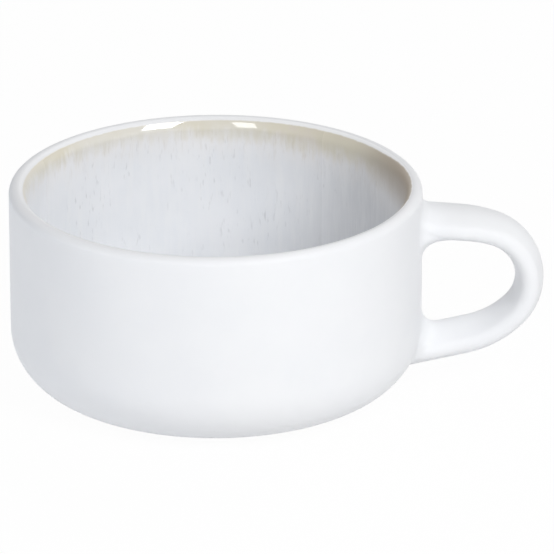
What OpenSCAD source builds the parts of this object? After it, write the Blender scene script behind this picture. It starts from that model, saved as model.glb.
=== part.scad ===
// Soup mug: a wide stoneware cup with one strap handle.
// The cup and the handle are two clay pieces, luted together with slip and then glazed.
// +Z is up, the axis of the cup is Z, the foot stands on z = 0 and the handle points along +X.

/* [Cup] */
// Outside diameter of the clay wall
cup_d = 125; // [110:1:150]
// Height of the clay, from the table to the top of the lip
cup_h = 63.5; // [58:0.5:90]
// Thickness of the clay wall
wall_t = 4.5; // [4:0.1:6]
// Radius of the lip over its top and outside
lip_r = 1.9; // [1.4:0.1:1.9]
// Radius of the shoulder that leads from the lip into the hollow
shoulder_r = 5.5; // [3:0.1:9]
// Radius of the outside corner between wall and base
corner_r = 18; // [12:0.5:24]
// Radius of the inside corner between wall and floor
well_r = 14; // [6:0.5:22]
// Thickness of the clay floor over the foot recess
floor_t = 5; // [3.5:0.1:8]

/* [Foot] */
// Distance from the inner end of the corner out to the outside of the foot ring
foot_set = 1.5; // [0:0.1:2.5]
// Width of the face that the foot ring stands on
foot_w = 4; // [3:0.1:8]
// Height of the foot ring under the corner
foot_h = 1.2; // [0.8:0.1:2.5]
// Depth of the recess inside the foot ring
recess_h = 2.4; // [1.5:0.1:4]
// Radius that eases the edges of the foot ring
foot_edge_r = 0.5; // [0.2:0.1:0.7]

/* [Glaze] */
// Thickness of a glaze coat
glaze_t = 0.5; // [0.2:0.05:0.9]
// Angle down round the corner, from the level, at which the outer glaze stops short of the foot
glaze_line_a = 72; // [50:1:74]
// Angle over the lip, from the outside, at which the inner glaze takes over from the outer one
lip_line_a = 135; // [100:1:135]

/* [Handle] */
// Width of the clay strap
strap_w = 19.6; // [14:0.2:24]
// Thickness of the clay strap
strap_t = 7.5; // [6:0.1:10]
// Radius of the strap's rounded edges
strap_edge_r = 2.7; // [1.5:0.1:2.9]
// Distance from the top of the lip down to the strap's centre line where it leaves the wall
upper_drop = 10.3; // [9:0.1:14]
// Height of the strap's centre line where it meets the corner
lower_z = 11.1; // [10:0.1:16]
// Length of the straight upper arm
arm_l = 19; // [12:0.5:30]
// Fall of the upper arm
arm_fall = 7; // [0:0.5:15]
// Angle that the finger bend turns through
bend_a = 132; // [120:1:140]
// Radius of the centre line along the heel
heel_r = 31; // [20:0.5:40]
// Rise of the lower arm away from the wall
lower_rise = 13; // [8:0.5:20]
// Thickness of the slip seam between handle and wall
slip_t = 0.4; // [0.2:0.05:0.8]
// Radius of the sponged fillet at the upper root, on the finger side
upper_finger_fillet_r = 4.5; // [1:0.1:5]
// Radius of the sponged fillet over the upper root
upper_top_fillet_r = 2.4; // [1:0.1:5]
// Radius of the sponged fillet at the lower root, on the finger side
lower_finger_fillet_r = 3; // [1:0.1:4]
// Radius of the sponged fillet under the lower root
lower_under_fillet_r = 1.6; // [1:0.1:4]

/* [Hidden] */

clay_colour = "#e6dfd2";
slip_colour = "#ded6c8";
reactive_colour = "#dfe2e6";
satin_colour = "#f2f3f5";

// Arcs of the turned forms are drawn with this many sides
$fn = 96;

wall_r = cup_d / 2;
well_wall_r = wall_r - wall_t;
lip_z = cup_h - lip_r;
lip_mid_r = wall_r - lip_r;
// Middle of the shoulder's arc, which touches the inside of the wall and the round of the lip
shoulder_mid_r = well_wall_r + shoulder_r;
shoulder_mid_z = lip_z - sqrt((shoulder_r - lip_r) ^ 2 - (shoulder_mid_r - lip_mid_r) ^ 2);
shoulder_a = atan2(lip_z - shoulder_mid_z, lip_mid_r - shoulder_mid_r);
corner_mid_r = wall_r - corner_r;
corner_mid_z = foot_h + corner_r;
floor_z = recess_h + floor_t;
foot_r = corner_mid_r + foot_set;
recess_r = foot_r - foot_w;

// Overlap that keeps a cutting form clear of the face it cuts through
clear = 1;
// Half extent of a block that holds the whole mug
far = 2 * (cup_d + cup_h);

// Turned forms of the cup

// Everything inside the outer surface of the cup, grown by a coat
module outer_profile(coat = 0) {
    corner = corner_r + coat;
    translate([0, foot_h - coat]) square([corner_mid_r, lip_z - foot_h + coat]);
    translate([0, corner_mid_z]) square([wall_r + coat, lip_z - corner_mid_z]);
    intersection() {
        translate([corner_mid_r, corner_mid_z]) circle(corner);
        translate([corner_mid_r, foot_h - coat]) square(corner + clear);
    }
    lip_profile(coat);
}

// The round of the lip
module lip_profile(coat = 0) {
    translate([lip_mid_r, lip_z]) circle(lip_r + coat);
}

// The rim, from the start of the shoulder to the top of the lip
module rim_profile(coat = 0) {
    lip_profile(coat);
    translate([lip_mid_r, shoulder_mid_z]) square([wall_r + coat - lip_mid_r, lip_z - shoulder_mid_z]);
    intersection() {
        translate([shoulder_mid_r, shoulder_mid_z]) circle(shoulder_r + coat);
        translate([shoulder_mid_r, shoulder_mid_z]) rotate(shoulder_a) square(far);
        translate([0, shoulder_mid_z]) square([wall_r + coat, far]);
    }
}

// The hollow of the cup, narrowed by a coat and open at the top
module well_profile(coat = 0) {
    r = well_wall_r - coat;
    corner = well_r - coat;
    z = floor_z + coat;
    translate([0, z + corner]) square([r, shoulder_mid_z - z - corner]);
    translate([0, z]) square([r - corner, corner + clear]);
    translate([r - corner, z + corner]) circle(corner);
    difference() {
        translate([0, shoulder_mid_z]) square([lip_mid_r, far]);
        rim_profile(coat);
    }
}

// The standing ring under the cup, with eased edges
module foot_profile() {
    translate([recess_r, foot_edge_r]) square([foot_w, foot_h + floor_t - foot_edge_r]);
    translate([recess_r + foot_edge_r, 0]) square([foot_w - 2 * foot_edge_r, foot_h]);
    for (r = [recess_r + foot_edge_r, foot_r - foot_edge_r])
        translate([r, foot_edge_r]) circle(foot_edge_r);
}

// The hollow under the floor, inside the foot ring
module recess_profile(coat = 0) {
    translate([0, -clear]) square([recess_r - coat, recess_h + clear - coat]);
}

// The part of the section above a height
module above(z) {
    translate([0, z]) square(far);
}

// The outer glaze from the dry line on the corner up to the lip
module wall_coat_profile() {
    difference() {
        outer_profile(glaze_t);
        outer_profile();
        above(lip_z);
        below_glaze_line();
    }
}

// The part of the section under the line at which the outer glaze stops
module below_glaze_line() {
    translate([corner_mid_r, corner_mid_z]) rotate(-glaze_line_a) mirror([0, 1]) square(far);
    translate([0, -far]) square([corner_mid_r, far + corner_mid_z]);
}

// The coat over the round of the lip
module lip_coat_profile() {
    intersection() {
        difference() {
            lip_profile(glaze_t);
            lip_profile();
        }
        above(lip_z);
    }
}

// The rim on the inner side of the line where the two glazes meet
module inside_lip_line() {
    translate([lip_mid_r, lip_z]) rotate(lip_line_a) square(far);
}

// The rim on the outer side of that line
module outside_lip_line() {
    difference() {
        above(shoulder_mid_z);
        inside_lip_line();
    }
}

module outer_form(coat = 0) {
    rotate_extrude() outer_profile(coat);
}

module cup_profile() {
    difference() {
        union() {
            outer_profile();
            foot_profile();
        }
        well_profile();
        recess_profile();
    }
}

// The handle's centre line lies in the XZ plane and runs from the upper root, round the finger
// bend and the heel, to the lower root. A place on it is [x, z, heading], and the heading is
// measured from +X, positive downwards.

function step(place, len) =
    [place[0] + len * cos(place[2]), place[1] - len * sin(place[2]), place[2]];

function turn(place, r, a) = [
    place[0] + r * (sin(place[2] + a) - sin(place[2])),
    place[1] + r * (cos(place[2] + a) - cos(place[2])),
    place[2] + a,
];

// Radius of the outer surface at a height, grown by a coat
function wall_r_at(z, coat) =
    let (drop = min(max(corner_mid_z - z, 0), corner_r + coat))
    corner_mid_r + sqrt((corner_r + coat) ^ 2 - drop ^ 2);

// Height of a place over a line through the origin with the slope of the lower arm
function over_slope(place) = place[1] - place[0] * tan(lower_rise);

heel_a = 180 - lower_rise - arm_fall - bend_a;
arm_start = [wall_r, cup_h - upper_drop, arm_fall];
bend_start = step(arm_start, arm_l);
// The finger bend has the radius that leads the lower arm to its height at the corner
lower_end = [wall_r_at(lower_z, 0), lower_z];
sharp_bend_end = turn(turn(bend_start, 0, bend_a), heel_r, heel_a);
unit_bend = turn([0, 0, arm_fall], 1, bend_a);
bend_r = (over_slope(lower_end) - over_slope(sharp_bend_end)) / over_slope(unit_bend);
heel_start = turn(bend_start, bend_r, bend_a);
lower_start = turn(heel_start, heel_r, heel_a);

// Length from a place, along its heading and at a distance y to the side, until the outer surface
// under a coat is met; it is found by repeated steps
function reach(place, y, coat, len = 0, tries = 12) =
    let (
        q = step(place, len),
        gap = q[0] - sqrt(max(wall_r_at(q[1], coat) ^ 2 - y ^ 2, 0))
    )
    tries == 0 ? len : reach(place, y, coat, len - gap / cos(place[2]), tries - 1);

// Where the centre line meets the outer surface under a coat
function upper_root(coat = 0) = step(arm_start, reach(arm_start, 0, coat));
function lower_root(coat = 0) = step(lower_start, reach(lower_start, 0, coat));

// Section of the strap: an oval with two round edges of a small radius and two faces of a large
// one, which meet at a tangent. Grown, it stays parallel to itself.

oval_mid_y = strap_w / 2 - strap_edge_r;
oval_face_r = (oval_mid_y ^ 2 + (strap_t / 2) ^ 2 - strap_edge_r ^ 2) / (strap_t - 2 * strap_edge_r);
oval_mid_n = oval_face_r - strap_t / 2;
oval_a = atan2(oval_mid_y, oval_mid_n);
edge_steps = 6;
face_steps = 8;

module oval(grow) {
    face_r = oval_face_r + grow;
    intersection() {
        translate([0, oval_mid_n]) circle(face_r);
        translate([0, -oval_mid_n]) circle(face_r);
        square([2 * face_r * sin(oval_a), strap_t + 2 * grow + clear], center = true);
    }
    for (side = [-1, 1])
        translate([side * oval_mid_y, 0]) circle(strap_edge_r + grow);
}

function arc(y, n, r, start, end, steps) =
    [for (i = [0:steps - 1])
        let (a = start + (end - start) * i / steps)
        [y + r * cos(a), n + r * sin(a)]];

function oval_points(grow) =
    let (edge_r = strap_edge_r + grow, face_r = oval_face_r + grow)
    concat(
        arc(oval_mid_y, 0, edge_r, oval_a - 90, 90 - oval_a, edge_steps),
        arc(0, -oval_mid_n, face_r, 90 - oval_a, 90 + oval_a, face_steps),
        arc(-oval_mid_y, 0, edge_r, 90 + oval_a, 270 - oval_a, edge_steps),
        arc(0, oval_mid_n, face_r, 270 - oval_a, 270 + oval_a, face_steps)
    );

// The fillet at a root turns through this angle, so that it meets the wall without a feather edge
fillet_a = 62;
fillet_steps = 5;
// Clearance under the ends of the strap and of its coat
seat_clear = 0.05;
// Straight neck of the strap, between the coats on the wall and the fillet
neck_h = 0.1;
neck_seat = max(slip_t, glaze_t) + neck_h;
// Length over which the sections ease from the curve of the wall to flat ones
root_ease_l = 13;

// A fillet is [radius on the finger side, radius on the outer side]
upper_fillet = [upper_finger_fillet_r, upper_top_fillet_r];
lower_fillet = [lower_finger_fillet_r, lower_under_fillet_r];

function fillet_h(r) = r * sin(fillet_a);
function flare(r, d) =
    d >= fillet_h(r) ? 0 : r - sqrt(r ^ 2 - (fillet_h(r) - d) ^ 2);
// The oval grows by the mean of the two flares and leans towards the larger one
function grow(fillet, d) = (flare(fillet[1], d) + flare(fillet[0], d)) / 2;
function lean(fillet, d) = (flare(fillet[1], d) - flare(fillet[0], d)) / 2;
function flared_points(fillet, d, coat) =
    [for (q = oval_points(grow(fillet, d) + coat)) [q[0], q[1] + lean(fillet, d)]];
function ease(d) =
    let (t = min(d / root_ease_l, 1)) 1 - t * t * (3 - 2 * t);

// A place shifted across its heading
function shifted(place, n) =
    [place[0] + n * sin(place[2]), place[1] + n * cos(place[2]), place[2]];

// One section at a place on the centre line, d away from the root of the fillet
function section(place, root, d, fillet, coat) =
    [for (q = flared_points(fillet, d, coat))
        let (
            len = d < root_ease_l ? ease(d) * reach(shifted(root, q[1]), q[0], neck_seat) : 0,
            p = step(shifted(place, q[1]), len)
        )
        [p[0], q[0], p[1]]];

// The end of a root, on the outer surface under the coat seat and shrunk towards its middle
function end_section(root, fillet, coat, seat, share = 1) =
    [for (q = share * flared_points(fillet, 0, coat))
        let (
            side = shifted(root, q[1]),
            p = step(side, reach(side, q[0], seat + seat_clear))
        )
        [p[0], q[0], p[1]]];

// The face of an end, as rings that follow the curve of the wall
end_rings = 6;

function end_sections(root, fillet, seat) =
    [for (i = [1:end_rings - 1]) end_section(root, fillet, 0, seat, i / end_rings)];

// Distances from the start of the fillet to the end of an arm at which there is a section
function stations(fillet, arm_end, steps) =
    let (r = max(fillet), h = fillet_h(r))
    concat(
        [for (i = [fillet_steps:-1:0]) h - r * sin(fillet_a * i / fillet_steps)],
        [for (i = [1:steps - 1]) h + (arm_end - h) * i / steps]
    );

function reversed(list) = [for (i = [len(list) - 1:-1:0]) list[i]];

arm_steps = 5;
bend_steps = 20;
heel_steps = 4;
lower_steps = 4;

upper_neck = upper_root(neck_seat);
lower_neck = lower_root(neck_seat);
upper_stations = stations(upper_fillet, arm_l - reach(arm_start, 0, neck_seat), arm_steps);
lower_stations = stations(lower_fillet, reach(lower_start, 0, neck_seat), lower_steps);

function upper_sections(coat) =
    [for (d = upper_stations)
        section(step(upper_neck, d), upper_neck, d, upper_fillet, coat)];

function lower_sections(coat) =
    [for (d = reversed(lower_stations))
        section(step(lower_neck, -d), lower_neck, d, lower_fillet, coat)];

// Sections round the finger bend and the heel, too far from either root to follow the wall
function loop_sections(coat) =
    let (
        bend = [for (i = [0:bend_steps - 1]) turn(bend_start, bend_r, bend_a * i / bend_steps)],
        heel = [for (i = [0:heel_steps]) turn(heel_start, heel_r, heel_a * i / heel_steps)]
    )
    [for (place = concat(bend, heel)) section(place, place, root_ease_l, [0, 0], coat)];

// The whole strap, grown by a coat, from end to end on the coat seat of the wall
function strap_sections(coat, seat) = concat(
    [end_section(upper_neck, upper_fillet, coat, seat)],
    upper_sections(coat),
    loop_sections(coat),
    lower_sections(coat),
    [end_section(lower_neck, lower_fillet, coat, seat)]
);

// Triangles between each section and the next one, out of count
function side_faces(n, m, count) =
    [for (j = [0:count - 1], i = [0:n - 1])
        let (k = (i + 1) % n, here = j * n, next = (j + 1) % m * n)
        each [[here + i, next + k, here + k], [here + i, next + i, next + k]]];

// A solid through a row of sections, with a point at the middle of each end
module loft(sections, first_tip, last_tip) {
    n = len(sections[0]);
    m = len(sections);
    points = [for (s = sections) each s, first_tip, last_tip];
    first = [for (i = [0:n - 1]) [m * n, i, (i + 1) % n]];
    last = [for (i = [0:n - 1]) [m * n + 1, (m - 1) * n + (i + 1) % n, (m - 1) * n + i]];
    polyhedron(points, concat(side_faces(n, m, m - 1), first, last));
}

// A tube between a row of outer sections and a row of inner ones
module tube(outer, inner) {
    sections = concat(outer, reversed(inner));
    points = [for (s = sections) each s];
    polyhedron(points, side_faces(len(outer[0]), len(sections), len(sections)));
}

function end_tip(root, seat) =
    let (p = step(root, reach(root, 0, seat + seat_clear)))
    [p[0], 0, p[1]];

// A straight bar along the strap's heading at a root, as wide as the flared end of the strap
module root_bar(root, fillet) {
    translate([root[0], 0, root[1]]) rotate([0, root[2], 0]) rotate([90, 0, 90])
        linear_extrude(2 * corner_r, center = true)
            translate([0, lean(fillet, 0)]) oval(grow(fillet, 0));
}

module upper_root_bar() {
    root_bar(upper_root(), upper_fillet);
}

module lower_root_bar() {
    root_bar(lower_root(), lower_fillet);
}

// The layer of slip that lies on the wall
module slip_layer() {
    difference() {
        outer_form(slip_t);
        outer_form();
    }
}

// Sub-parts

// Turned clay cup: wall, rounded lip, floor and foot ring
module cup_body() {
    color(clay_colour) rotate_extrude() cup_profile();
}

// Clay strap, with its two ends shaped to the curve of the wall
module handle() {
    color(clay_colour) loft(
        concat(
            end_sections(upper_neck, upper_fillet, slip_t),
            strap_sections(0, slip_t),
            reversed(end_sections(lower_neck, lower_fillet, slip_t))
        ),
        end_tip(upper_neck, slip_t),
        end_tip(lower_neck, slip_t)
    );
}

// Slip that lutes the upper end of the handle to the wall
module upper_slip_joint() {
    color(slip_colour) intersection() {
        slip_layer();
        upper_root_bar();
    }
}

// Slip that lutes the lower end of the handle to the corner
module lower_slip_joint() {
    color(slip_colour) intersection() {
        slip_layer();
        lower_root_bar();
    }
}

// Glossy reactive glaze that lines the hollow, up to the inner shoulder of the lip
module inner_glaze() {
    color(reactive_colour) rotate_extrude() difference() {
        well_profile();
        well_profile(glaze_t);
        outside_lip_line();
    }
}

// Satin white glaze over the outside and the lip, open where the handle is luted on
module outer_glaze() {
    color(satin_colour) difference() {
        rotate_extrude() {
            wall_coat_profile();
            difference() {
                lip_coat_profile();
                inside_lip_line();
            }
        }
        upper_root_bar();
        lower_root_bar();
    }
}

// Satin white glaze round the strap, from end to end on the outer glaze
module handle_glaze() {
    color(satin_colour) tube(strap_sections(glaze_t, glaze_t), strap_sections(0, glaze_t));
}

// Satin white glaze in the recess under the floor
module foot_glaze() {
    color(satin_colour) rotate_extrude() difference() {
        recess_profile();
        recess_profile(glaze_t);
        translate([0, -clear]) square([far, clear + foot_h]);
    }
}

cup_body();
handle();
upper_slip_joint();
lower_slip_joint();
inner_glaze();
outer_glaze();
handle_glaze();
foot_glaze();
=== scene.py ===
"""Soup mug: a wide stoneware cup with one strap handle, glazed satin white outside.

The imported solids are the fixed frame. The coats that show are built here as fine meshes over the clay:
the wall coat, the strap coat and the reactive lining of the hollow. The clay of the strap is built with
its coat, so that the two share one form. The clay of the cup, the slip and the coat under the floor stay
as they are and get their finishes. Everything is in metres.
"""

import logging
import math
from collections.abc import Iterable
from dataclasses import dataclass, field
from enum import Enum

import bmesh
import bpy
import numpy as np
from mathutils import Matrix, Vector


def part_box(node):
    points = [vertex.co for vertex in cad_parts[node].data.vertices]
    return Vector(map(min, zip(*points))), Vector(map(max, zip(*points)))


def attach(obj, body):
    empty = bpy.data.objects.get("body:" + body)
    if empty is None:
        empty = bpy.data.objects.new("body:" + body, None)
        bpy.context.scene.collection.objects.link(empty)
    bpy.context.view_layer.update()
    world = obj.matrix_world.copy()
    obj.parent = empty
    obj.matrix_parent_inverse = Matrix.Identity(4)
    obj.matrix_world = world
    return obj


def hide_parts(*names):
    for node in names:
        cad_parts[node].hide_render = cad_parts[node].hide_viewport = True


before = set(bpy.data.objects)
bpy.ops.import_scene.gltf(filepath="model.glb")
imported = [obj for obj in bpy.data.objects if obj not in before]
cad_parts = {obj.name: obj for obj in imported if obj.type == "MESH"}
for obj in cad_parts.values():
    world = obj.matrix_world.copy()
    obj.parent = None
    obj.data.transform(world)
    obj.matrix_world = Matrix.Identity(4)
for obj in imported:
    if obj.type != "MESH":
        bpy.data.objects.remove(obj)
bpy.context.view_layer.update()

LOG = logging.getLogger("soup_mug")
BODY = "root"
MM = 0.001
FULL_TURN = 2 * math.pi
NOISE_MIDDLE = 0.5
WHITE = (1.0, 1.0, 1.0, 1.0)

Colour = tuple[float, float, float]
Direction = tuple[float, float, float]
Point = tuple[float, float, float]
# A place on the strap's centre line: distance from the cup's axis, height and heading below the level.
Place = tuple[float, float, float]
# The three controls of a smooth blend along the strap.
Pull = tuple[float, float, float]
# Where an effect starts to fade in and where it is complete.
Span = tuple[float, float]


class Ends(Enum):
    """How the section of a turned form closes."""

    LOOP = "the section is a closed loop clear of the axis"
    POLES = "the section starts and ends on the axis"


class Root(Enum):
    """The two ends of the strap."""

    UPPER = "on the wall under the lip"
    LOWER = "on the corner over the foot"


class Slot(Enum):
    """Material slot names of the record."""

    CLAY = "clay"
    REACTIVE = "reactive_glaze"
    SATIN = "satin_glaze"


class Detail(Enum):
    """How many octaves of finer noise lie on top of a soft one."""

    PLAIN = 1.0
    SOFT = 2.0
    BROKEN = 3.0
    FINE = 4.0


class Value:
    """A socket in a node tree, with the operators that add Math nodes behind it."""

    def __init__(self, nodes: "Nodes", socket: bpy.types.NodeSocket) -> None:
        """Keeps the socket and the tree it belongs to."""
        self.nodes = nodes
        self.socket = socket

    def __add__(self, other: "Value | float") -> "Value":
        """Adds a number or a value."""
        return self.nodes.math("ADD", self, other)

    def __radd__(self, other: float) -> "Value":
        """Adds this value to a number."""
        return self.nodes.math("ADD", other, self)

    def __sub__(self, other: "Value | float") -> "Value":
        """Takes a number or a value away."""
        return self.nodes.math("SUBTRACT", self, other)

    def __rsub__(self, other: float) -> "Value":
        """Takes this value away from a number."""
        return self.nodes.math("SUBTRACT", other, self)

    def __mul__(self, other: "Value | float") -> "Value":
        """Multiplies by a number or a value."""
        return self.nodes.math("MULTIPLY", self, other)

    def __rmul__(self, other: float) -> "Value":
        """Multiplies a number by this value."""
        return self.nodes.math("MULTIPLY", other, self)

    def __truediv__(self, other: "Value | float") -> "Value":
        """Divides by a number or a value."""
        return self.nodes.math("DIVIDE", self, other)

    def __rtruediv__(self, other: float) -> "Value":
        """Divides a number by this value."""
        return self.nodes.math("DIVIDE", other, self)

    def __pow__(self, other: "Value | float") -> "Value":
        """Raises to a power."""
        return self.nodes.math("POWER", self, other)

    def __rpow__(self, other: float) -> "Value":
        """Raises a number to this power."""
        return self.nodes.math("POWER", other, self)

    def larger(self, other: "Value | float") -> "Value":
        """The larger of this value and another."""
        return self.nodes.math("MAXIMUM", self, other)

    def between(self, low: float, high: float) -> "Value":
        """A smooth step: 0 up to low, 1 from high on. The two may stand the other way round.

        Args:
            low: Where the step starts.
            high: Where the step is complete.

        Returns:
            The step, from 0 to 1.
        """
        span = {"interpolation_type": "SMOOTHSTEP"}
        start, end, out = (low, high, (0.0, 1.0)) if low < high else (high, low, (1.0, 0.0))
        sockets = {"Value": self, "From Min": start, "From Max": end, "To Min": out[0], "To Max": out[1]}
        return self.nodes.add("ShaderNodeMapRange", span, sockets)


class Nodes:
    """The node tree of a material or of the world, and the one way to add a node to it."""

    def __init__(self, tree: bpy.types.NodeTree) -> None:
        """Empties the tree."""
        self.tree = tree
        self.tree.nodes.clear()

    def add(self, kind: str, settings: dict | None = None, sockets: dict | None = None,
            output: str | None = None) -> Value:
        """Adds one node.

        Args:
            kind: The node's type.
            settings: Properties of the node, set before its sockets.
            sockets: Values or links of its input sockets, by identifier or name.
            output: Identifier or name of the output; the first one if left out.

        Returns:
            The output socket.
        """
        node = self.tree.nodes.new(kind)
        for key, setting in (settings or {}).items():
            setattr(node, key, setting)
        for key, content in (sockets or {}).items():
            socket = self._find(node.inputs, key)
            if isinstance(content, Value):
                self.tree.links.new(content.socket, socket)
            else:
                socket.default_value = content
        if not node.outputs:
            return Value(self, node.inputs[0])
        return Value(self, self._find(node.outputs, output) if output else node.outputs[0])

    @staticmethod
    def _find(sockets: Iterable[bpy.types.NodeSocket], key: str) -> bpy.types.NodeSocket:
        """Finds the socket with an identifier, or else the first one with that name."""
        by_identifier = [socket for socket in sockets if socket.identifier == key]
        return (by_identifier or [socket for socket in sockets if socket.name == key])[0]

    def math(self, operation: str, first: Value | float, second: Value | float) -> Value:
        """Adds a Math node."""
        return self.add("ShaderNodeMath", {"operation": operation}, {"Value": first, "Value_001": second})

    def mix(self, factor: Value, first: Value | Colour, second: Value | Colour) -> Value:
        """Mixes two colours.

        Args:
            factor: Share of the second colour.
            first: A colour or its socket.
            second: A colour or its socket.

        Returns:
            The mixed colour.
        """
        colours = {"A_Color": first, "B_Color": second}
        sockets = {key: c if isinstance(c, Value) else (*c, 1.0) for key, c in colours.items()}
        sockets["Factor_Float"] = factor
        return self.add("ShaderNodeMix", {"data_type": "RGBA"}, sockets, "Result_Color")

    def place(self) -> Value:
        """Place on the mug, in metres."""
        return self.add("ShaderNodeTexCoord", output="Object")

    def split(self, vector: Value) -> tuple[Value, Value, Value]:
        """The three parts of a vector."""
        node = self.add("ShaderNodeSeparateXYZ", sockets={"Vector": vector}).socket.node
        return tuple(Value(self, socket) for socket in node.outputs)

    def join(self, x: Value, y: Value, z: Value) -> Value:
        """A vector from its three parts."""
        return self.add("ShaderNodeCombineXYZ", sockets={"X": x, "Y": y, "Z": z})

    def noise(self, vector: Value, size: float, detail: Detail = Detail.SOFT, weight: float = 0.5) -> Value:
        """Soft noise round NOISE_MIDDLE, in patches of a size, with a weight for each finer octave."""
        sockets = {"Vector": vector, "Scale": 1 / size, "Detail": detail.value, "Roughness": weight}
        return self.add("ShaderNodeTexNoise", sockets=sockets)

    def cells(self, vector: Value, size: float) -> tuple[Value, Value]:
        """Scattered points.

        Args:
            vector: Place at which they are taken.
            size: Mean distance from one point to the next.

        Returns:
            The distance to the nearest point, as a share of the size, and a random value of it.
        """
        sockets = {"Vector": vector, "Scale": 1 / size}
        node = self.add("ShaderNodeTexVoronoi", sockets=sockets).socket.node
        tint = Value(self, self._find(node.outputs, "Color"))
        return Value(self, self._find(node.outputs, "Distance")), self.split(tint)[0]

    def bump(self, height: Value, depth: float, below: Value | None = None) -> Value:
        """Relief on a surface.

        Args:
            height: Relief from 0 to 1.
            depth: Depth of the relief.
            below: Normal of a relief that this one lies on.

        Returns:
            The normal.
        """
        sockets = {"Height": height, "Distance": depth}
        if below:
            sockets["Normal"] = below
        return self.add("ShaderNodeBump", sockets=sockets)

    def surface(self, sockets: dict) -> None:
        """Ends the tree in a Principled shader with these values or links of its sockets."""
        shader = self.add("ShaderNodeBsdfPrincipled", sockets=sockets)
        self.add("ShaderNodeOutputMaterial", sockets={"Surface": shader})


def new_material(name: str) -> tuple[bpy.types.Material, Nodes]:
    """Makes a material with an empty node tree.

    Args:
        name: Name of the finish.

    Returns:
        The material and its nodes.
    """
    material = bpy.data.materials.new(name)
    material.use_nodes = True
    return material, Nodes(material.node_tree)


@dataclass(frozen=True)
class SatinGlaze:
    """Satin white glaze: cool white with a faint mottle, an orange-peel skin and rare pits."""

    name: str = "satin_white_glaze"
    white: Colour = (0.803, 0.814, 0.836)
    milky: Colour = (0.821, 0.830, 0.847)
    # Colour of the lip top: thinner glaze, and partly painted shade that tones down the brightly lit top of
    # the lip.
    thin: Colour = (0.80, 0.808, 0.826)
    pit: Colour = (0.50, 0.47, 0.42)
    gloss: float = 0.25
    roughness: float = 0.50
    roughness_spread: float = 0.10
    mottle_size: float = 22 * MM
    mottle_span: Span = (0.3, 0.7)
    skin_size: float = 0.9 * MM
    skin_depth: float = 0.006 * MM
    wave_size: float = 16 * MM
    wave_depth: float = 0.05 * MM
    pit_spread: float = 7 * MM
    pit_size: float = 0.02
    pit_share: float = 0.86
    lip_fade: float = 1.6 * MM

    def colours(self, nodes: Nodes, lip_z: float) -> tuple[Value, Value]:
        """Colour and roughness over the surface.

        Args:
            nodes: Node tree of the material.
            lip_z: Height of the top of the lip, where the glaze is thin; the colour greys there, partly as
                painted shade on the brightly lit lip top.

        Returns:
            The colour and the roughness.
        """
        place = nodes.place()
        mottle = nodes.noise(place, self.mottle_size, Detail.FINE)
        colour = nodes.mix(mottle.between(*self.mottle_span), self.white, self.milky)
        height = nodes.split(place)[2]
        # Greyer and a touch warmer on the lip top: thin glaze, and partly painted shade on the lit top of
        # the lip.
        colour = nodes.mix(height.between(lip_z - self.lip_fade, lip_z), colour, self.thin)
        near, chance = nodes.cells(place, self.pit_spread)
        pits = near.between(self.pit_size, 0.0) * chance.between(self.pit_share, 1.0)
        rough = mottle * self.roughness_spread + (self.roughness - self.roughness_spread / 2)
        return nodes.mix(pits, colour, self.pit), rough

    def relief(self, nodes: Nodes) -> Value:
        """Normal of the skin: a slow wave with a fine orange peel on it."""
        wave = nodes.bump(nodes.noise(nodes.place(), self.wave_size), self.wave_depth)
        return nodes.bump(nodes.noise(nodes.place(), self.skin_size, Detail.PLAIN), self.skin_depth, wave)

    def build(self, lip_z: float) -> bpy.types.Material:
        """Makes the material.

        Args:
            lip_z: Height of the top of the lip.

        Returns:
            The material.
        """
        material, nodes = new_material(self.name)
        colour, rough = self.colours(nodes, lip_z)
        sockets = {"Base Color": colour, "Roughness": rough, "Normal": self.relief(nodes),
                   "Specular IOR Level": self.gloss}
        nodes.surface(sockets)
        return material


@dataclass(frozen=True)
class Hollow:
    """The inside of the cup, as the glaze in it needs it."""

    lip_z: float
    wall_r: float
    floor_z: float
    pool_r: float = 40 * MM
    pool_rise: float = 16 * MM


class Flow:
    """Places in the hollow, measured along the way that the glaze runs and round towards the handle."""

    def __init__(self, nodes: Nodes, hollow: Hollow) -> None:
        """Measures the hollow.

        Args:
            nodes: Node tree of the material.
            hollow: The inside of the cup.
        """
        self.nodes = nodes
        self.place = nodes.place()
        x, y, z = nodes.split(self.place)
        radius = (x * x + y * y) ** 0.5
        self.towards_handle = x / radius.larger(MM)
        self.run = (hollow.lip_z - z) + (hollow.wall_r - radius)
        self.on_wall = radius.between(hollow.pool_r, hollow.wall_r)
        low = z.between(hollow.floor_z + hollow.pool_rise, hollow.floor_z)
        self.running = 1 - radius.between(hollow.wall_r, hollow.pool_r) * low
        self._around_x = self.towards_handle * hollow.wall_r
        self._around_y = y / radius.larger(MM) * hollow.wall_r

    def drawn_out(self, width: float, length: float, detail: Detail) -> Value:
        """Noise in streaks of a width, and of a length along the way that the glaze runs."""
        place = self.nodes.join(self._around_x, self._around_y, self.run * (width / length))
        return self.nodes.noise(place, width, detail)

    def spread(self, size: float, detail: Detail) -> Value:
        """Noise that has no direction."""
        return self.nodes.noise(self.place, size, detail)


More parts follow.
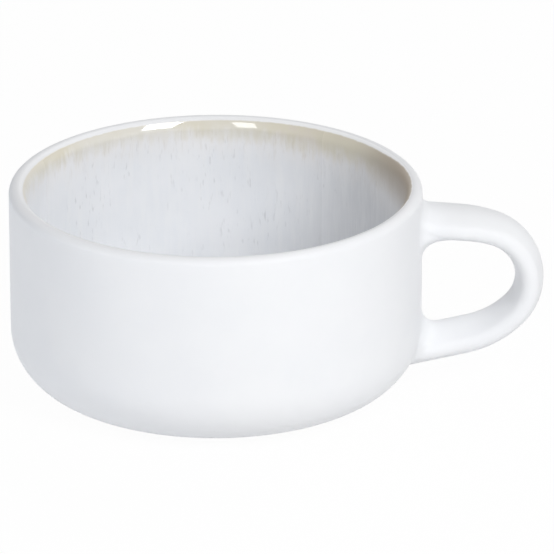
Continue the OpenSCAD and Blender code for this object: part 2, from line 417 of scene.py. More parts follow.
@dataclass(frozen=True)
class ReactiveGlaze:
    """Glossy glaze that breaks from the white lip through a beige band to runs of pale blue grey.

    The spans named for the handle and for the far side are of the cosine of the angle from the handle, and
    flank is of its square.
    """

    name: str = "reactive_grey_glaze"
    satin: SatinGlaze = SatinGlaze()
    grey: Colour = (0.815, 0.835, 0.868)
    pale: Colour = (0.86, 0.873, 0.90)
    # Darker grey of the wall towards the handle: partly deeper glaze, partly painted shade of the side left
    # in shadow.
    deep_glaze_shade: Colour = (0.635, 0.642, 0.665)
    milk: Colour = (0.885, 0.895, 0.905)
    rose: Colour = (0.885, 0.858, 0.838)
    speck: Colour = (0.50, 0.51, 0.53)
    dash: Colour = (0.55, 0.50, 0.44)
    beige: Colour = (0.755, 0.735, 0.672)
    olive: Colour = (0.72, 0.68, 0.56)
    umber: Colour = (0.71, 0.65, 0.60)
    # Brown: a faint break under the lip, and towards the handle partly painted shade of the shadowed inner
    # wall.
    brown_and_shade: Colour = (0.43, 0.36, 0.28)
    # Lighter white for the lip towards the handle: painted light on the lip's shaded side.
    lip_painted_light: Colour = (0.91, 0.915, 0.93)
    ior: float = 1.58
    roughness: float = 0.06
    dull: float = 0.24
    coat: float = 0.6
    handle_side: Span = (0.7, 1.0)
    handle_half: Span = (-0.3, 0.7)
    handle_deep_shade: Span = (0.2, 1.2)
    handle_lip: Span = (0.86, 1.0)
    handle_dull: Span = (0.25, 0.65)
    far_dull: Span = (-0.7, -0.97)
    flank: Span = (0.95, 0.7)
    cloud_size: float = 19 * MM
    cloud_span: Span = (0.3, 0.7)
    veil_width: float = 2.6 * MM
    veil_length: float = 20 * MM
    veil_span: Span = (0.42, 0.75)
    veil_share: float = 0.35
    veil_depth: float = 0.008 * MM
    streak_width: float = 0.7 * MM
    streak_length: float = 8 * MM
    streak_span: Span = (0.4, 0.7)
    streak_share: float = 0.18
    fleck_width: float = 0.95 * MM
    fleck_length: float = 3.6 * MM
    fleck_span: Span = (0.59, 0.85)
    fleck_share: float = 0.6
    gather_size: float = 12 * MM
    gather_span: Span = (0.42, 0.66)
    dash_width: float = 0.9 * MM
    dash_length: float = 4.5 * MM
    dash_span: Span = (0.54, 0.74)
    dash_share: float = 0.32
    dash_end: float = 15 * MM
    rose_share: float = 0.7
    rag_width: float = 1.7 * MM
    rag_length: float = 9 * MM
    rag_reach: float = 5.5 * MM
    blot_size: float = 7 * MM
    blot_reach: float = 6 * MM
    band_start: float = 1.0 * MM
    band_end: float = 8.4 * MM
    band_more: float = 2.2 * MM
    band_most: float = 2.8 * MM
    band_calm: float = 0.75
    band_soften: float = 0.45
    olive_span: Span = (0.35, 0.75)
    olive_lean: float = 0.2
    umber_span: Span = (0.5, 0.68)
    umber_share: float = 0.5
    line_end: float = 3.5 * MM
    line_share: float = 0.1
    lip_end: float = -0.2 * MM
    lip_soft: float = 0.45 * MM
    lip_rag: float = 0.6 * MM
    lip_thin: float = 0.4 * MM
    lip_bare: float = 1.3 * MM

    def _ground(self, flow: Flow, veil: Value, cloud: Value, facing: Value) -> Value:
        """Colour of the runs below the band, darker grey towards the handle: partly deeper glaze, partly
        painted shade.

        Args:
            flow: Places in the hollow.
            veil: Broad runs of the glaze.
            cloud: Slow change of the colour.
            facing: 1 where the wall lies across the handle's line.

        Returns:
            The colour.
        """
        nodes = flow.nodes
        colour = nodes.mix(cloud.between(*self.cloud_span), self.grey, self.pale)
        # Darker grey on the wall towards the handle: partly deeper glaze, partly painted shade of the wall
        # that lies in shadow.
        deep_glaze_shade = flow.towards_handle.between(*self.handle_deep_shade) * flow.on_wall
        colour = nodes.mix(deep_glaze_shade, colour, self.deep_glaze_shade)
        veils = veil.between(*self.veil_span) * flow.running
        colour = nodes.mix(veils * self.veil_share, colour, self.milk)
        streak = flow.drawn_out(self.streak_width, self.streak_length, Detail.BROKEN)
        streaks = streak.between(*self.streak_span) * flow.running
        colour = nodes.mix(streaks * self.streak_share, colour, self.milk)
        fleck = flow.drawn_out(self.fleck_width, self.fleck_length, Detail.PLAIN).between(*self.fleck_span)
        gather = flow.spread(self.gather_size, Detail.SOFT).between(*self.gather_span)
        return nodes.mix(fleck * gather * facing * self.fleck_share, colour, self.speck)

    def _band(self, flow: Flow, ground: Value, cloud: Value, facing: Value) -> Value:
        """Colour with the band under the lip, which is deeper and softer by the handle, and darker there:
        partly brown glaze, partly painted shade.

        Args:
            flow: Places in the hollow.
            ground: Colour of the runs below it.
            cloud: Slow change of the colour.
            facing: 1 where the wall lies across the handle's line.

        Returns:
            The colour.
        """
        nodes = flow.nodes
        side = flow.towards_handle.between(*self.handle_side)
        half = flow.towards_handle.between(*self.handle_half)
        rag = flow.drawn_out(self.rag_width, self.rag_length, Detail.BROKEN) - NOISE_MIDDLE
        blot = flow.spread(self.blot_size, Detail.BROKEN)
        ragged = rag * self.rag_reach + (blot - NOISE_MIDDLE) * self.blot_reach
        deeper = half * self.band_more + side * self.band_most
        edge = flow.run + ragged * (1 - side * self.band_calm) - deeper
        middle = (self.band_start + self.band_end) / 2
        edge = (edge - middle) * (1 - side * self.band_soften) + middle

        fringe = edge.between(self.dash_end, self.band_start)
        colour = nodes.mix(fringe * self.rose_share, ground, self.rose)
        dashes = flow.drawn_out(self.dash_width, self.dash_length, Detail.PLAIN).between(*self.dash_span)
        colour = nodes.mix(dashes * fringe * facing * self.dash_share, colour, self.dash)

        olive = (cloud + half * self.olive_lean).between(*self.olive_span)
        band = nodes.mix(olive, self.beige, self.olive)
        band = nodes.mix(blot.between(*self.umber_span) * half * self.umber_share, band, self.umber)
        band = nodes.mix(flow.run.between(self.line_end, 0.0) * self.line_share, band, self.brown_and_shade)
        # Brown towards the handle: partly a brown break of the glaze, partly painted shade on the inner
        # wall's shadowed side.
        band = nodes.mix(side, band, self.brown_and_shade)
        return nodes.mix(edge.between(self.band_end, self.band_start), colour, band)

    def _lip(self, flow: Flow, veil: Value) -> Value:
        """1 on the lip, where the satin white covers this glaze.

        Args:
            flow: Places in the hollow.
            veil: Broad runs of the glaze, which the edge of the white follows.

        Returns:
            The share of the white.
        """
        thin = flow.towards_handle.between(*self.handle_half) * self.lip_thin
        bare = flow.towards_handle.between(*self.handle_lip) * self.lip_bare
        edge = flow.run + (veil - NOISE_MIDDLE) * self.lip_rag + thin + bare
        return edge.between(self.lip_end + self.lip_soft, self.lip_end - self.lip_soft)

    def build(self, hollow: Hollow) -> bpy.types.Material:
        """Makes the material.

        Args:
            hollow: The inside of the cup.

        Returns:
            The material.
        """
        material, nodes = new_material(self.name)
        flow = Flow(nodes, hollow)
        veil = flow.drawn_out(self.veil_width, self.veil_length, Detail.SOFT)
        cloud = flow.spread(self.cloud_size, Detail.BROKEN)
        facing = (flow.towards_handle * flow.towards_handle).between(*self.flank) * flow.running
        colour = self._band(flow, self._ground(flow, veil, cloud, facing), cloud, facing)

        lip = self._lip(flow, veil)
        white, satin_rough = self.satin.colours(nodes, hollow.lip_z)
        # Lighter lip towards the handle: painted light that brightens the shaded side of the lip.
        white = nodes.mix(flow.towards_handle.between(*self.handle_half), white, self.lip_painted_light)
        far = flow.towards_handle.between(*self.far_dull)
        dulled = flow.towards_handle.between(*self.handle_dull).larger(far) * flow.on_wall * flow.running
        rough = self.roughness + dulled * self.dull
        sockets = {
            "Base Color": nodes.mix(lip, colour, white),
            "Roughness": lip * (satin_rough - rough) + rough,
            "Normal": nodes.bump(veil * facing, self.veil_depth),
            "Coat Weight": self.coat * (1 - lip) * (1 - dulled),
            "IOR": self.ior,
            "Coat IOR": self.ior,
        }
        nodes.surface(sockets)
        return material


@dataclass(frozen=True)
class BareClay:
    """Unglazed stoneware: warm, dry and grainy, with specks of grog."""

    name: str
    light: Colour = (0.62, 0.55, 0.46)
    dark: Colour = (0.50, 0.43, 0.35)
    grog: Colour = (0.30, 0.25, 0.20)
    roughness: float = 0.85
    roughness_spread: float = 0.2
    patch_size: float = 9 * MM
    patch_span: Span = (0.3, 0.7)
    grain_size: float = 0.5 * MM
    grain_weight: float = 0.7
    grain_span: Span = (0.55, 0.8)
    grain_share: float = 0.4
    grain_depth: float = 0.05 * MM
    grog_spread: float = 1.6 * MM
    grog_span: Span = (0.18, 0.09)
    grog_share: float = 0.6

    def build(self) -> bpy.types.Material:
        """Makes the material.

        Returns:
            The material.
        """
        material, nodes = new_material(self.name)
        place = nodes.place()
        patch = nodes.noise(place, self.patch_size, Detail.FINE)
        grain = nodes.noise(place, self.grain_size, Detail.BROKEN, self.grain_weight)
        near, chance = nodes.cells(place, self.grog_spread)
        grog = near.between(*self.grog_span) * chance.between(self.grog_share, 1.0)
        colour = nodes.mix(patch.between(*self.patch_span), self.light, self.dark)
        colour = nodes.mix(grain.between(*self.grain_span) * self.grain_share, colour, self.dark)
        sockets = {
            "Base Color": nodes.mix(grog, colour, self.grog),
            "Roughness": grain * self.roughness_spread + (self.roughness - self.roughness_spread / 2),
            "Normal": nodes.bump(grain, self.grain_depth),
        }
        nodes.surface(sockets)
        return material


def smoothed_object(name: str, vertices: np.ndarray, faces: list[tuple[int, ...]]) -> bpy.types.Object:
    """Makes an object of smooth faces that all look outwards.

    Args:
        name: Name of the piece.
        vertices: Corners, one per row.
        faces: Corners of each face.

    Returns:
        The object, in the scene.
    """
    mesh = bpy.data.meshes.new(name)
    mesh.from_pydata(vertices.tolist(), [], faces)
    shape = bmesh.new()
    shape.from_mesh(mesh)
    bmesh.ops.recalc_face_normals(shape, faces=shape.faces)
    for face in shape.faces:
        face.smooth = True
    shape.to_mesh(mesh)
    shape.free()
    piece = bpy.data.objects.new(name, mesh)
    bpy.context.scene.collection.objects.link(piece)
    return piece


def grid_faces(rows: int, columns: int, wrap_rows: bool) -> list[tuple[int, ...]]:
    """Faces between the rows of a grid whose columns run round in a ring.

    Args:
        rows: Number of rows.
        columns: Number of corners in a row.
        wrap_rows: Whether the last row joins the first one.

    Returns:
        The corners of each face.
    """
    faces = []
    for row in range(rows if wrap_rows else rows - 1):
        here, there = row * columns, (row + 1) % rows * columns
        for i in range(columns):
            k = (i + 1) % columns
            faces.append((here + i, here + k, there + k, there + i))
    return faces


def fan(middle: int, start: int, columns: int) -> list[tuple[int, ...]]:
    """Triangles from a corner in the middle of a ring to the ring's corners, which follow its start."""
    return [(middle, start + i, start + (i + 1) % columns) for i in range(columns)]


def hand_over(piece: bpy.types.Object, node: str, material: bpy.types.Material) -> None:
    """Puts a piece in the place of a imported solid.

    Args:
        piece: The finished mesh.
        node: Name of the solid that it stands for.
        material: Its finish.
    """
    piece.data.materials.append(material)
    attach(piece, BODY)
    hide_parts(node)
    LOG.info("%s: %d faces, in place of %s", piece.name, len(piece.data.polygons), node)


def arc(mid: tuple[float, float], radius: np.ndarray | float, angles: np.ndarray) -> np.ndarray:
    """Points of an arc in a flat section, at angles from the first axis of the section."""
    return np.stack([mid[0] + radius * np.cos(angles), mid[1] + radius * np.sin(angles)], axis=-1)


def turned(name: str, sections: np.ndarray, ends: Ends) -> bpy.types.Object:
    """Turns a section round the axis of the cup.

    Args:
        name: Name of the piece.
        sections: Radius and height of each point of the section, at each step round the axis.
        ends: How the section closes.

    Returns:
        The object.
    """
    rows, columns = sections.shape[:2]
    round_axis = np.arange(columns) * FULL_TURN / columns
    radius, height = sections[..., 0], sections[..., 1]
    vertices = np.stack([radius * np.cos(round_axis), radius * np.sin(round_axis), height], axis=-1)
    vertices = vertices.reshape(-1, 3)
    faces = grid_faces(rows, columns, ends is Ends.LOOP)
    if ends is Ends.POLES:
        for row in (0, rows - 1):
            faces += fan(len(vertices), row * columns, columns)
            vertices = np.vstack([vertices, (0.0, 0.0, height[row].mean())])
    return smoothed_object(name, vertices, faces)


@dataclass
class CupForm:
    """Surfaces of the glazed cup, which the coats share."""

    wall_r: float
    lip_z: float
    under_t: float = 0.45 * MM
    lip_r: float = 2.4 * MM
    shoulder_r: float = 6.0 * MM
    corner_r: float = 18.5 * MM
    corner_z: float = 19.2 * MM
    well_wall_r: float = 57.5 * MM
    well_corner_r: float = 13.5 * MM
    floor_z: float = 7.9 * MM
    lip_line: float = math.radians(105)
    lip_edge: float = math.radians(0.6)
    round_steps: int = 288

    @classmethod
    def from_frame(cls) -> "CupForm":
        """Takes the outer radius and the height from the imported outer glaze."""
        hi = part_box("outer_glaze")[1]
        return cls(wall_r=hi[1], lip_z=hi[2])

    @property
    def hollow(self) -> Hollow:
        """The inside of the cup."""
        return Hollow(self.lip_z, self.well_wall_r, self.floor_z)

    @property
    def lip_mid(self) -> tuple[float, float]:
        """Middle of the lip's round."""
        return self.wall_r - self.lip_r, self.lip_z - self.lip_r

    @property
    def corner_mid(self) -> tuple[float, float]:
        """Middle of the outside corner's round."""
        return self.wall_r - self.corner_r, self.corner_z

    @property
    def shoulder_mid(self) -> tuple[float, float]:
        """Middle of the shoulder's round, which touches the lip and the inside of the wall.

        Returns:
            Its radius and its height.
        """
        mid_r = self.well_wall_r + self.shoulder_r
        lip_r, lip_z = self.lip_mid
        return mid_r, lip_z - math.sqrt((self.shoulder_r - self.lip_r) ** 2 - (mid_r - lip_r) ** 2)

    @property
    def shoulder_start(self) -> float:
        """Angle at which the lip's round goes over into the shoulder."""
        (lip_r, lip_z), (mid_r, mid_z) = self.lip_mid, self.shoulder_mid
        return math.atan2(lip_z - mid_z, lip_r - mid_r)

    def wall_radius(self, height: np.ndarray) -> np.ndarray:
        """Radius of the outside at each height over the table."""
        drop = np.clip(self.corner_z - height, 0.0, self.corner_r)
        return self.corner_mid[0] + np.sqrt(self.corner_r**2 - drop**2)

    def repeated(self, outline: np.ndarray) -> np.ndarray:
        """The same outline at every step round the axis."""
        return np.repeat(outline[:, None, :], self.round_steps, axis=1)


@dataclass
class WallCoat:
    """The satin coat over the outside and the lip, down to a dry line above the foot."""

    form: CupForm
    dry_line: float = math.radians(-72)
    edge_span: float = math.radians(5)
    edge_steps: int = 8
    corner_steps: int = 22
    wall_steps: int = 16
    lip_steps: int = 16
    line_waves: tuple[tuple[int, float, float], ...] = (
        (3, math.radians(0.5), 0.4), (7, math.radians(0.35), 2.1), (13, math.radians(0.2), 4.4),
    )

    def _surface(self, depth: float) -> np.ndarray:
        """A surface of the coat, from the dry line over the corner and the wall to the lip line.

        Args:
            depth: Depth under the outside of the coat.

        Returns:
            Sections round the axis.
        """
        form = self.form
        round_axis = np.arange(form.round_steps) * FULL_TURN / form.round_steps
        waves = [size * np.sin(count * round_axis + phase) for count, size, phase in self.line_waves]
        line = self.dry_line + np.sum(waves, axis=0)
        climb = np.linspace(0.0, 1.0, self.edge_steps)[:, None]
        swell = np.sqrt(1 - (1 - climb) ** 2)
        inner_r = form.corner_r - form.under_t
        edge_r = inner_r + (form.corner_r - depth - inner_r) * swell
        edge = arc(form.corner_mid, edge_r, line + climb * self.edge_span)
        rise = np.linspace(0.0, 1.0, self.corner_steps + 1)[1:, None]
        corner = arc(form.corner_mid, form.corner_r - depth, (line + self.edge_span) * (1 - rise))
        lip_z = form.lip_mid[1]
        heights = np.linspace(form.corner_z, lip_z, self.wall_steps + 1)[1:]
        wall = form.repeated(np.stack([np.full_like(heights, form.wall_r - depth), heights], axis=-1))
        angles = np.linspace(0.0, form.lip_line - form.lip_edge, self.lip_steps + 1)[1:]
        angles = np.append(angles, form.lip_line)
        lip = form.repeated(arc(form.lip_mid, form.lip_r - depth, angles))
        return np.concatenate([edge, corner, wall, lip])

    def build(self, material: bpy.types.Material) -> None:
        """Builds the coat.

        Args:
            material: Its finish.
        """
        outside, underside = self._surface(0.0), self._surface(self.form.under_t)
        piece = turned("wall_coat", np.concatenate([outside, underside[:0:-1]]), Ends.LOOP)
        hand_over(piece, "outer_glaze", material)


@dataclass
class Lining:
    """The reactive coat of the hollow, from the lip line down to the middle of the floor."""

    form: CupForm
    lip_steps: int = 12
    shoulder_steps: int = 16
    wall_steps: int = 24
    corner_steps: int = 22
    floor_steps: int = 14
    pole_r: float = 1 * MM

    def _surface(self, depth: float) -> np.ndarray:
        """A surface of the coat, from the lip line to the middle of the floor.

        Args:
            depth: Depth under the surface that shows.

        Returns:
            The outline in the section of the cup.
        """
        form = self.form
        angles = np.linspace(form.lip_line + form.lip_edge, form.shoulder_start, self.lip_steps + 1)
        lip = arc(form.lip_mid, form.lip_r - depth, np.append(form.lip_line, angles))
        shoulder = arc(form.shoulder_mid, form.shoulder_r - depth,
                       np.linspace(form.shoulder_start, math.pi, self.shoulder_steps + 1)[1:])
        corner_z = form.floor_z + form.well_corner_r
        heights = np.linspace(form.shoulder_mid[1], corner_z, self.wall_steps + 1)[1:-1]
        wall = np.stack([np.full_like(heights, form.well_wall_r + depth), heights], axis=-1)
        corner_mid = (form.well_wall_r - form.well_corner_r, corner_z)
        angles = np.linspace(0.0, -math.pi / 2, self.corner_steps + 1)
        corner = arc(corner_mid, form.well_corner_r + depth, angles)
        radii = np.linspace(corner_mid[0], self.pole_r, self.floor_steps + 1)[1:]
        floor = np.stack([radii, np.full_like(radii, form.floor_z - depth)], axis=-1)
        return np.concatenate([lip, shoulder, wall, corner, floor])

    def build(self, material: bpy.types.Material) -> None:
        """Builds the coat.

        Args:
            material: Its finish.
        """
        shown, underside = self._surface(0.0), self._surface(self.form.under_t)
        outline = np.concatenate([shown[::-1], underside])
        piece = turned("lining", self.form.repeated(outline), Ends.POLES)
        hand_over(piece, "inner_glaze", material)


@dataclass
class Fillet:
    """Tangent lengths of the sponged fillet at a root of the strap."""

    outer: float
    finger: float
    finger_run: float
    side: float

    def _round(self, normals: np.ndarray, finger: float) -> np.ndarray:
        """Tangent length for each normal of the section, with the one given on the finger side."""
        across, out = normals[:, :1], normals[:, 1:]
        return self.side * across**2 + np.where(out > 0, self.outer, finger) * out**2

    def on_wall(self, normals: np.ndarray) -> np.ndarray:
        """Tangent lengths along the wall."""
        return self._round(normals, self.finger)

    def on_strap(self, normals: np.ndarray) -> np.ndarray:
        """Tangent lengths along the strap."""
        return self._round(normals, self.finger_run)


@dataclass
class Strap:
    """The strap handle: its clay and the satin coat, which runs out onto the wall in soft fillets."""

    form: CupForm
    half_w: Pull = (10.3 * MM, 8.3 * MM, 10.3 * MM)
    half_t: Pull = (4.65 * MM, 3.88 * MM, 4.93 * MM)
    edge_r: float = 3.0 * MM
    clay_wall_r: float = 62.5 * MM
    root_z: float = 52.52 * MM
    arm_l: float = 12.8 * MM
    arm_fall: float = math.radians(4.25)
    shoulder_r: float = 41.9 * MM
    shoulder_a: float = math.radians(12.75)
    bend_r: float = 16.2 * MM
    bend_a: float = math.radians(116.7)
    heel_r: float = 29 * MM
    lower_rise: float = math.radians(12.7)
    sink: float = 0.04 * MM
    upper_fillet: Fillet = field(default_factory=lambda: Fillet(
        outer=2.5 * MM, finger=7.5 * MM, finger_run=12.0 * MM, side=3.4 * MM))
    lower_fillet: Fillet = field(default_factory=lambda: Fillet(
        outer=1.6 * MM, finger=8.5 * MM, finger_run=7.0 * MM, side=3.0 * MM))
    edge_steps: int = 20
    face_steps: int = 28
    fillet_steps: int = 14
    glaze_rings: int = 4
    arm_steps: int = 8
    shoulder_steps: int = 20
    bend_steps: int = 50
    heel_steps: int = 22
    reach_tries: int = 40

    def _section(self, share: float) -> tuple[np.ndarray, np.ndarray]:
        """The oval section of the strap.

        Args:
            share: How far along the strap, from 0 at the upper arm to 1 at the lower one.

        Returns:
            Its points and its normals, each across and out of the strap.
        """
        weights = np.array([(1 - share) ** 2, 2 * share * (1 - share), share**2])
        half_w, half_t = weights @ self.half_w, weights @ self.half_t
        mid_y = half_w - self.edge_r
        face_r = (mid_y**2 + half_t**2 - self.edge_r**2) / (2 * (half_t - self.edge_r))
        mid_n = face_r - half_t
        slant = math.atan2(mid_y, mid_n)
        quarter = math.pi / 2
        arcs = (
            ((mid_y, 0.0), self.edge_r, slant - quarter, quarter - slant, self.edge_steps),
            ((0.0, -mid_n), face_r, quarter - slant, quarter + slant, self.face_steps),
            ((-mid_y, 0.0), self.edge_r, quarter + slant, 3 * quarter - slant, self.edge_steps),
            ((0.0, mid_n), face_r, 3 * quarter - slant, 3 * quarter + slant, self.face_steps),
        )
        angles = [np.linspace(start, end, steps, endpoint=False) for _, _, start, end, steps in arcs]
        points = [arc(mid, radius, turn) for (mid, radius, *_), turn in zip(arcs, angles)]
        normals = [np.stack([np.cos(turn), np.sin(turn)], axis=-1) for turn in angles]
        return np.concatenate(points), np.concatenate(normals)

    @staticmethod
    def _step(place: Place, length: float) -> Place:
        """The place after a straight length."""
        x, z, heading = place
        return x + length * math.cos(heading), z - length * math.sin(heading), heading

    @staticmethod
    def _turn(place: Place, radius: float, angle: float) -> Place:
        """The place after a bend.

        Args:
            place: Where the bend starts.
            radius: Radius of the centre line.
            angle: Angle that it turns through.

        Returns:
            The place at its end.
        """
        x, z, heading = place
        end = heading + angle
        x += radius * (math.sin(end) - math.sin(heading))
        return x, z + radius * (math.cos(end) - math.cos(heading)), end

    def _path(self) -> list[Place]:
        """Follows the centre line from the end of the upper arm to the start of the lower one.

        Returns:
            The places on it, in order.
        """
        heel_a = math.pi - self.lower_rise - self.arm_fall - self.shoulder_a - self.bend_a
        bends = ((self.shoulder_r, self.shoulder_a, self.shoulder_steps),
                 (self.bend_r, self.bend_a, self.bend_steps), (self.heel_r, heel_a, self.heel_steps))
        places = [self._step((self.clay_wall_r, self.root_z, self.arm_fall), self.arm_l)]
        for radius, angle, steps in bends:
            start = places[-1]
            places += [self._turn(start, radius, angle * (i + 1) / steps) for i in range(steps)]
        return places

    @staticmethod
    def _spread(place: Place, flat: np.ndarray) -> np.ndarray:
        """Directions of the section at a place, in the mug's frame.

        Args:
            place: Place on the centre line.
            flat: Vectors across and out of the strap.

        Returns:
            The same vectors in the mug's frame.
        """
        out = np.array([math.sin(place[2]), 0.0, math.cos(place[2])])
        across = np.array([0.0, 1.0, 0.0])
        return flat[:, :1] * across + flat[:, 1:] * out

    def _ring(self, place: Place, share: float) -> np.ndarray:
        """The section at a place on the centre line."""
        return np.array([place[0], 0.0, place[1]]) + self._spread(place, self._section(share)[0])

    def _wall_x(self, points: np.ndarray) -> np.ndarray:
        """Where the outside of the cup stands at the width and the height of some points."""
        return np.sqrt(self.form.wall_radius(points[..., 2]) ** 2 - points[..., 1] ** 2)

    def _on_wall(self, points: np.ndarray, way: np.ndarray) -> np.ndarray:
        """Moves points along a direction until they lie on the outside of the cup.

        Args:
            points: Points near the wall.
            way: Direction towards the wall.

        Returns:
            The points on the wall.
        """
        moved = points.copy()
        for _ in range(self.reach_tries):
            moved = moved + ((moved[:, 0] - self._wall_x(moved)) / -way[0])[:, None] * way
        return moved

    def _root_rings(self, root: Root, start: Place, far_ring: np.ndarray) -> np.ndarray:
        """Rings of a fillet and of the straight arm behind it, from the wall outwards.

        Args:
            root: Which end of the strap.
            start: Place of the centre line close to the wall.
            far_ring: Section at the far end of the straight arm.

        Returns:
            The rings, without the far one.
        """
        upper = root is Root.UPPER
        fillet = self.upper_fillet if upper else self.lower_fillet
        way = np.array([math.cos(start[2]), 0.0, -math.sin(start[2])]) * (-1 if upper else 1)
        share = 0.0 if upper else 1.0
        flat_normals = self._section(share)[1]
        normals = self._spread(start, flat_normals)
        base = self._ring(start, share)
        foot = self._on_wall(base, way)
        along = self._on_wall(base + self.sink * normals, way) - foot
        along /= np.linalg.norm(along, axis=1)[:, None]
        slope = np.sum(along * normals, axis=1)[:, None]
        tip = self._on_wall(base + fillet.on_wall(flat_normals) * slope * normals, way) + self.sink * way
        neck = foot - fillet.on_strap(flat_normals) * way
        bend = np.linspace(1.0, 0.0, self.fillet_steps)
        rings = [t**2 * tip + 2 * t * (1 - t) * foot + (1 - t) ** 2 * neck for t in bend]
        straight = np.linspace(0.0, 1.0, self.arm_steps, endpoint=False)[1:]
        rings += [neck + (far_ring - neck) * t for t in straight]
        return np.array(rings)

    def _rings(self) -> np.ndarray:
        """Puts the two roots and the bend together.

        Returns:
            All rings of the outside, from the upper root to the lower one.
        """
        path = self._path()
        middle = np.array([self._ring(place, i / (len(path) - 1)) for i, place in enumerate(path)])
        upper_start = (self.clay_wall_r, self.root_z, self.arm_fall)
        upper = self._root_rings(Root.UPPER, upper_start, middle[0])
        lower = self._root_rings(Root.LOWER, path[-1], middle[-1])
        return np.concatenate([upper, middle, lower[::-1]])

    @staticmethod
    def _normals(rings: np.ndarray) -> np.ndarray:
        """Normals of the outside.

        Args:
            rings: Rings of the outside.

        Returns:
            A normal for each corner, pointing out of the strap.
        """
        along = np.gradient(rings, axis=0)
        around = np.roll(rings, -1, axis=1) - np.roll(rings, 1, axis=1)
        normals = np.cross(around, along)
        normals /= np.linalg.norm(normals, axis=-1)[..., None]
        half = len(rings) // 2
        outward = np.sum(normals[half] * (rings[half] - rings[half].mean(axis=0)))
        return math.copysign(1.0, outward) * normals

    def build(self, satin: bpy.types.Material, clay: bpy.types.Material) -> None:
        """Builds the coat and the clay inside it.

        Args:
            satin: Finish of the coat.
            clay: Finish of the clay.
        """
        outside = self._rings()
        normals = self._normals(outside)
        inside = outside - self.form.under_t * normals
        rows, columns = outside.shape[:2]
        tube = np.concatenate([outside, inside[::-1]]).reshape(-1, 3)
        coat = smoothed_object("strap_coat", tube, grid_faces(2 * rows, columns, True))
        hand_over(coat, "handle_glaze", satin)
        core = (inside - self.sink * normals)[self.glaze_rings:-self.glaze_rings]
        core[..., 0] = np.maximum(core[..., 0], self._wall_x(core))
        ends = core[[0, -1]].mean(axis=1)
        ends[:, 0] = self._wall_x(ends)
        rows = len(core)
        faces = grid_faces(rows, columns, False)
        faces += fan(rows * columns, 0, columns) + fan(rows * columns + 1, (rows - 1) * columns, columns)
        solid = smoothed_object("strap_clay", np.vstack([core.reshape(-1, 3), ends]), faces)
        hand_over(solid, "handle", clay)


@dataclass
class Clay:
    """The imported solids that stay: the cup's clay, the slip and the coat under the floor."""

    slip_light: Colour = (0.60, 0.54, 0.46)
    slip_dark: Colour = (0.54, 0.47, 0.39)

    def dress(self, satin: bpy.types.Material, clay: bpy.types.Material) -> None:
        """Gives each solid its finish.

        Args:
            satin: The finish of the coat under the floor.
            clay: The finish of the bare body.
        """
        slip = BareClay("joining_slip", light=self.slip_light, dark=self.slip_dark).build()
        finishes = {
            "cup_body": clay, "upper_slip_joint": slip, "lower_slip_joint": slip, "foot_glaze": satin,
        }
        for node, material in finishes.items():
            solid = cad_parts[node]
            for slot in solid.material_slots:
                slot.material = material
            LOG.info("%s: packed solid in %s", node, material.name)


@dataclass
class Softbox:
    """A rectangular studio lamp that faces the mug."""

    name: str
    direction: Direction
    width: float
    height: float
    radiance: float
    distance: float = 1.5
    colour: Colour = (1.0, 1.0, 1.0)

    def build(self, target: Vector) -> None:
        """Puts the lamp in the scene.

        Args:
            target: Middle of the mug.
        """
        lamp = bpy.data.lights.new(self.name, "AREA")
        lamp.shape = "RECTANGLE"
        lamp.size, lamp.size_y = self.width, self.height
        lamp.energy = self.radiance * math.pi * self.width * self.height
        lamp.color = self.colour
        away = Vector(self.direction).normalized()
        stand = bpy.data.objects.new(self.name, lamp)
        stand.location = target + away * self.distance
        stand.rotation_euler = away.to_track_quat("Z", "Y").to_euler()
        bpy.context.scene.collection.objects.link(stand)


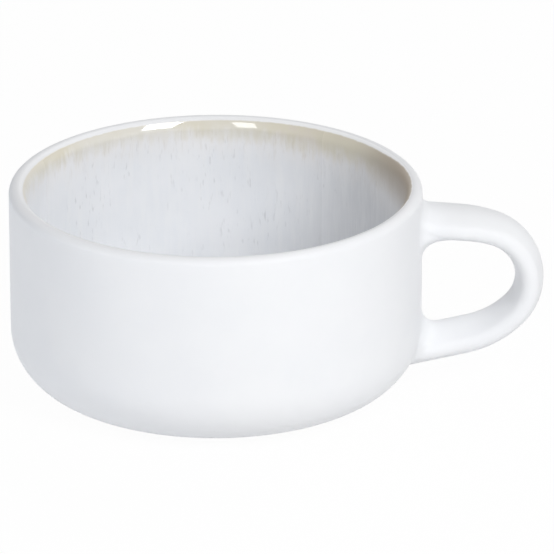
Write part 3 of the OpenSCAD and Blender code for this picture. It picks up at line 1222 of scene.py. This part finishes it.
@dataclass
class Studio:
    """White floor, soft light and the camera."""

    ambient: float = 0.285
    floor_r: float = 4.0
    floor_rings: int = 6
    floor_sides: int = 64
    floor_colour: Colour = (0.93, 0.93, 0.93)
    floor_glow: float = 0.97
    target: Point = (0.01866, 0.0, 0.0326)
    lens: float = 383.1
    sensor: float = 36.0
    distance: float = 1.805
    elevation: float = math.radians(21.77)
    rise: float = 0.00091
    lamps: tuple[Softbox, ...] = (
        Softbox("key_softbox", (0.487, -0.646, 0.588), width=0.50, height=0.85, radiance=9.8),
        Softbox("fill_softbox", (-0.289, -0.825, 0.485), width=0.32, height=0.80, radiance=4.7),
        Softbox("left_strip", (-0.97, -0.20, 0.0), width=1.20, height=0.055, radiance=23.0,
                colour=(0.925, 0.982, 1.075)),
        Softbox("top_softbox", (0.30, 0.55, 0.78), width=0.70, height=0.70, radiance=2.9),
    )

    @staticmethod
    def _seen(nodes: Nodes) -> Value:
        """Picks the rays that show the surroundings: to the camera, in a reflection and through glass.

        Args:
            nodes: Node tree of the floor or of the world.

        Returns:
            1 for these rays, 0 for the rest.
        """
        camera = nodes.add("ShaderNodeLightPath", output="Is Camera Ray")
        glossy = nodes.add("ShaderNodeLightPath", output="Is Glossy Ray")
        through = nodes.add("ShaderNodeLightPath", output="Is Transmission Ray")
        return camera.larger(glossy).larger(through)

    def _world(self) -> None:
        """White surroundings that give a plain level of soft light."""
        world = bpy.data.worlds.new("studio_world")
        world.use_nodes = True
        bpy.context.scene.world = world
        nodes = Nodes(world.node_tree)
        light = nodes.add("ShaderNodeBackground", sockets={"Color": WHITE, "Strength": self.ambient})
        white = nodes.add("ShaderNodeBackground", sockets={"Color": WHITE, "Strength": 1.0})
        sockets = {"Fac": self._seen(nodes), "Shader": light, "Shader_001": white}
        shown = nodes.add("ShaderNodeMixShader", sockets=sockets)
        nodes.add("ShaderNodeOutputWorld", sockets={"Surface": shown})

    def _floor(self) -> None:
        """A round white floor that keeps a trace of the mug's shadow."""
        round_axis = np.arange(self.floor_sides) * FULL_TURN / self.floor_sides
        ring = np.stack([np.cos(round_axis), np.sin(round_axis), np.zeros_like(round_axis)], axis=-1)
        radii = np.linspace(0.0, self.floor_r, self.floor_rings + 1)[1:]
        corners = np.concatenate([radius * ring for radius in radii])
        faces = grid_faces(self.floor_rings, self.floor_sides, False)
        faces += fan(len(corners), 0, self.floor_sides)
        floor = smoothed_object("floor", np.vstack([corners, np.zeros(3)]), faces)
        material, nodes = new_material("floor_white")
        matt = nodes.add("ShaderNodeBsdfDiffuse", sockets={"Color": (*self.floor_colour, 1.0)})
        glow = nodes.add("ShaderNodeEmission", sockets={"Color": WHITE, "Strength": 1.0})
        sockets = {"Fac": self._seen(nodes) * self.floor_glow, "Shader": matt, "Shader_001": glow}
        shader = nodes.add("ShaderNodeMixShader", sockets=sockets)
        nodes.add("ShaderNodeOutputMaterial", sockets={"Surface": shader})
        floor.data.materials.append(material)

    def _camera(self) -> None:
        """The camera, in front of the mug and looking down on it."""
        lens = bpy.data.cameras.new("camera")
        lens.lens, lens.sensor_width = self.lens, self.sensor
        back = Vector((0.0, -math.cos(self.elevation), math.sin(self.elevation)))
        up = Vector((0.0, math.sin(self.elevation), math.cos(self.elevation)))
        camera = bpy.data.objects.new("camera", lens)
        camera.location = Vector(self.target) + up * self.rise + back * self.distance
        camera.rotation_euler = (math.pi / 2 - self.elevation, 0.0, 0.0)
        bpy.context.scene.collection.objects.link(camera)
        bpy.context.scene.camera = camera

    def build(self) -> None:
        """Sets up the world, the floor, the lamps and the camera."""
        bpy.context.scene.view_settings.view_transform = "Standard"
        self._world()
        self._floor()
        for lamp in self.lamps:
            lamp.build(Vector(self.target))
        self._camera()
        LOG.info("studio: %d lamps", len(self.lamps))


def main() -> None:
    """Builds the mug piece by piece and sets it in the studio."""
    logging.basicConfig(level=logging.INFO, format="%(name)s: %(message)s")
    form = CupForm.from_frame()
    satin = SatinGlaze().build(form.lip_z)
    reactive = ReactiveGlaze().build(form.hollow)
    clay = BareClay("bare_stoneware").build()
    Clay().dress(satin, clay)
    WallCoat(form).build(satin)
    Strap(form).build(satin, clay)
    Lining(form).build(reactive)
    Studio().build()


if __name__ == "__main__":
    main()
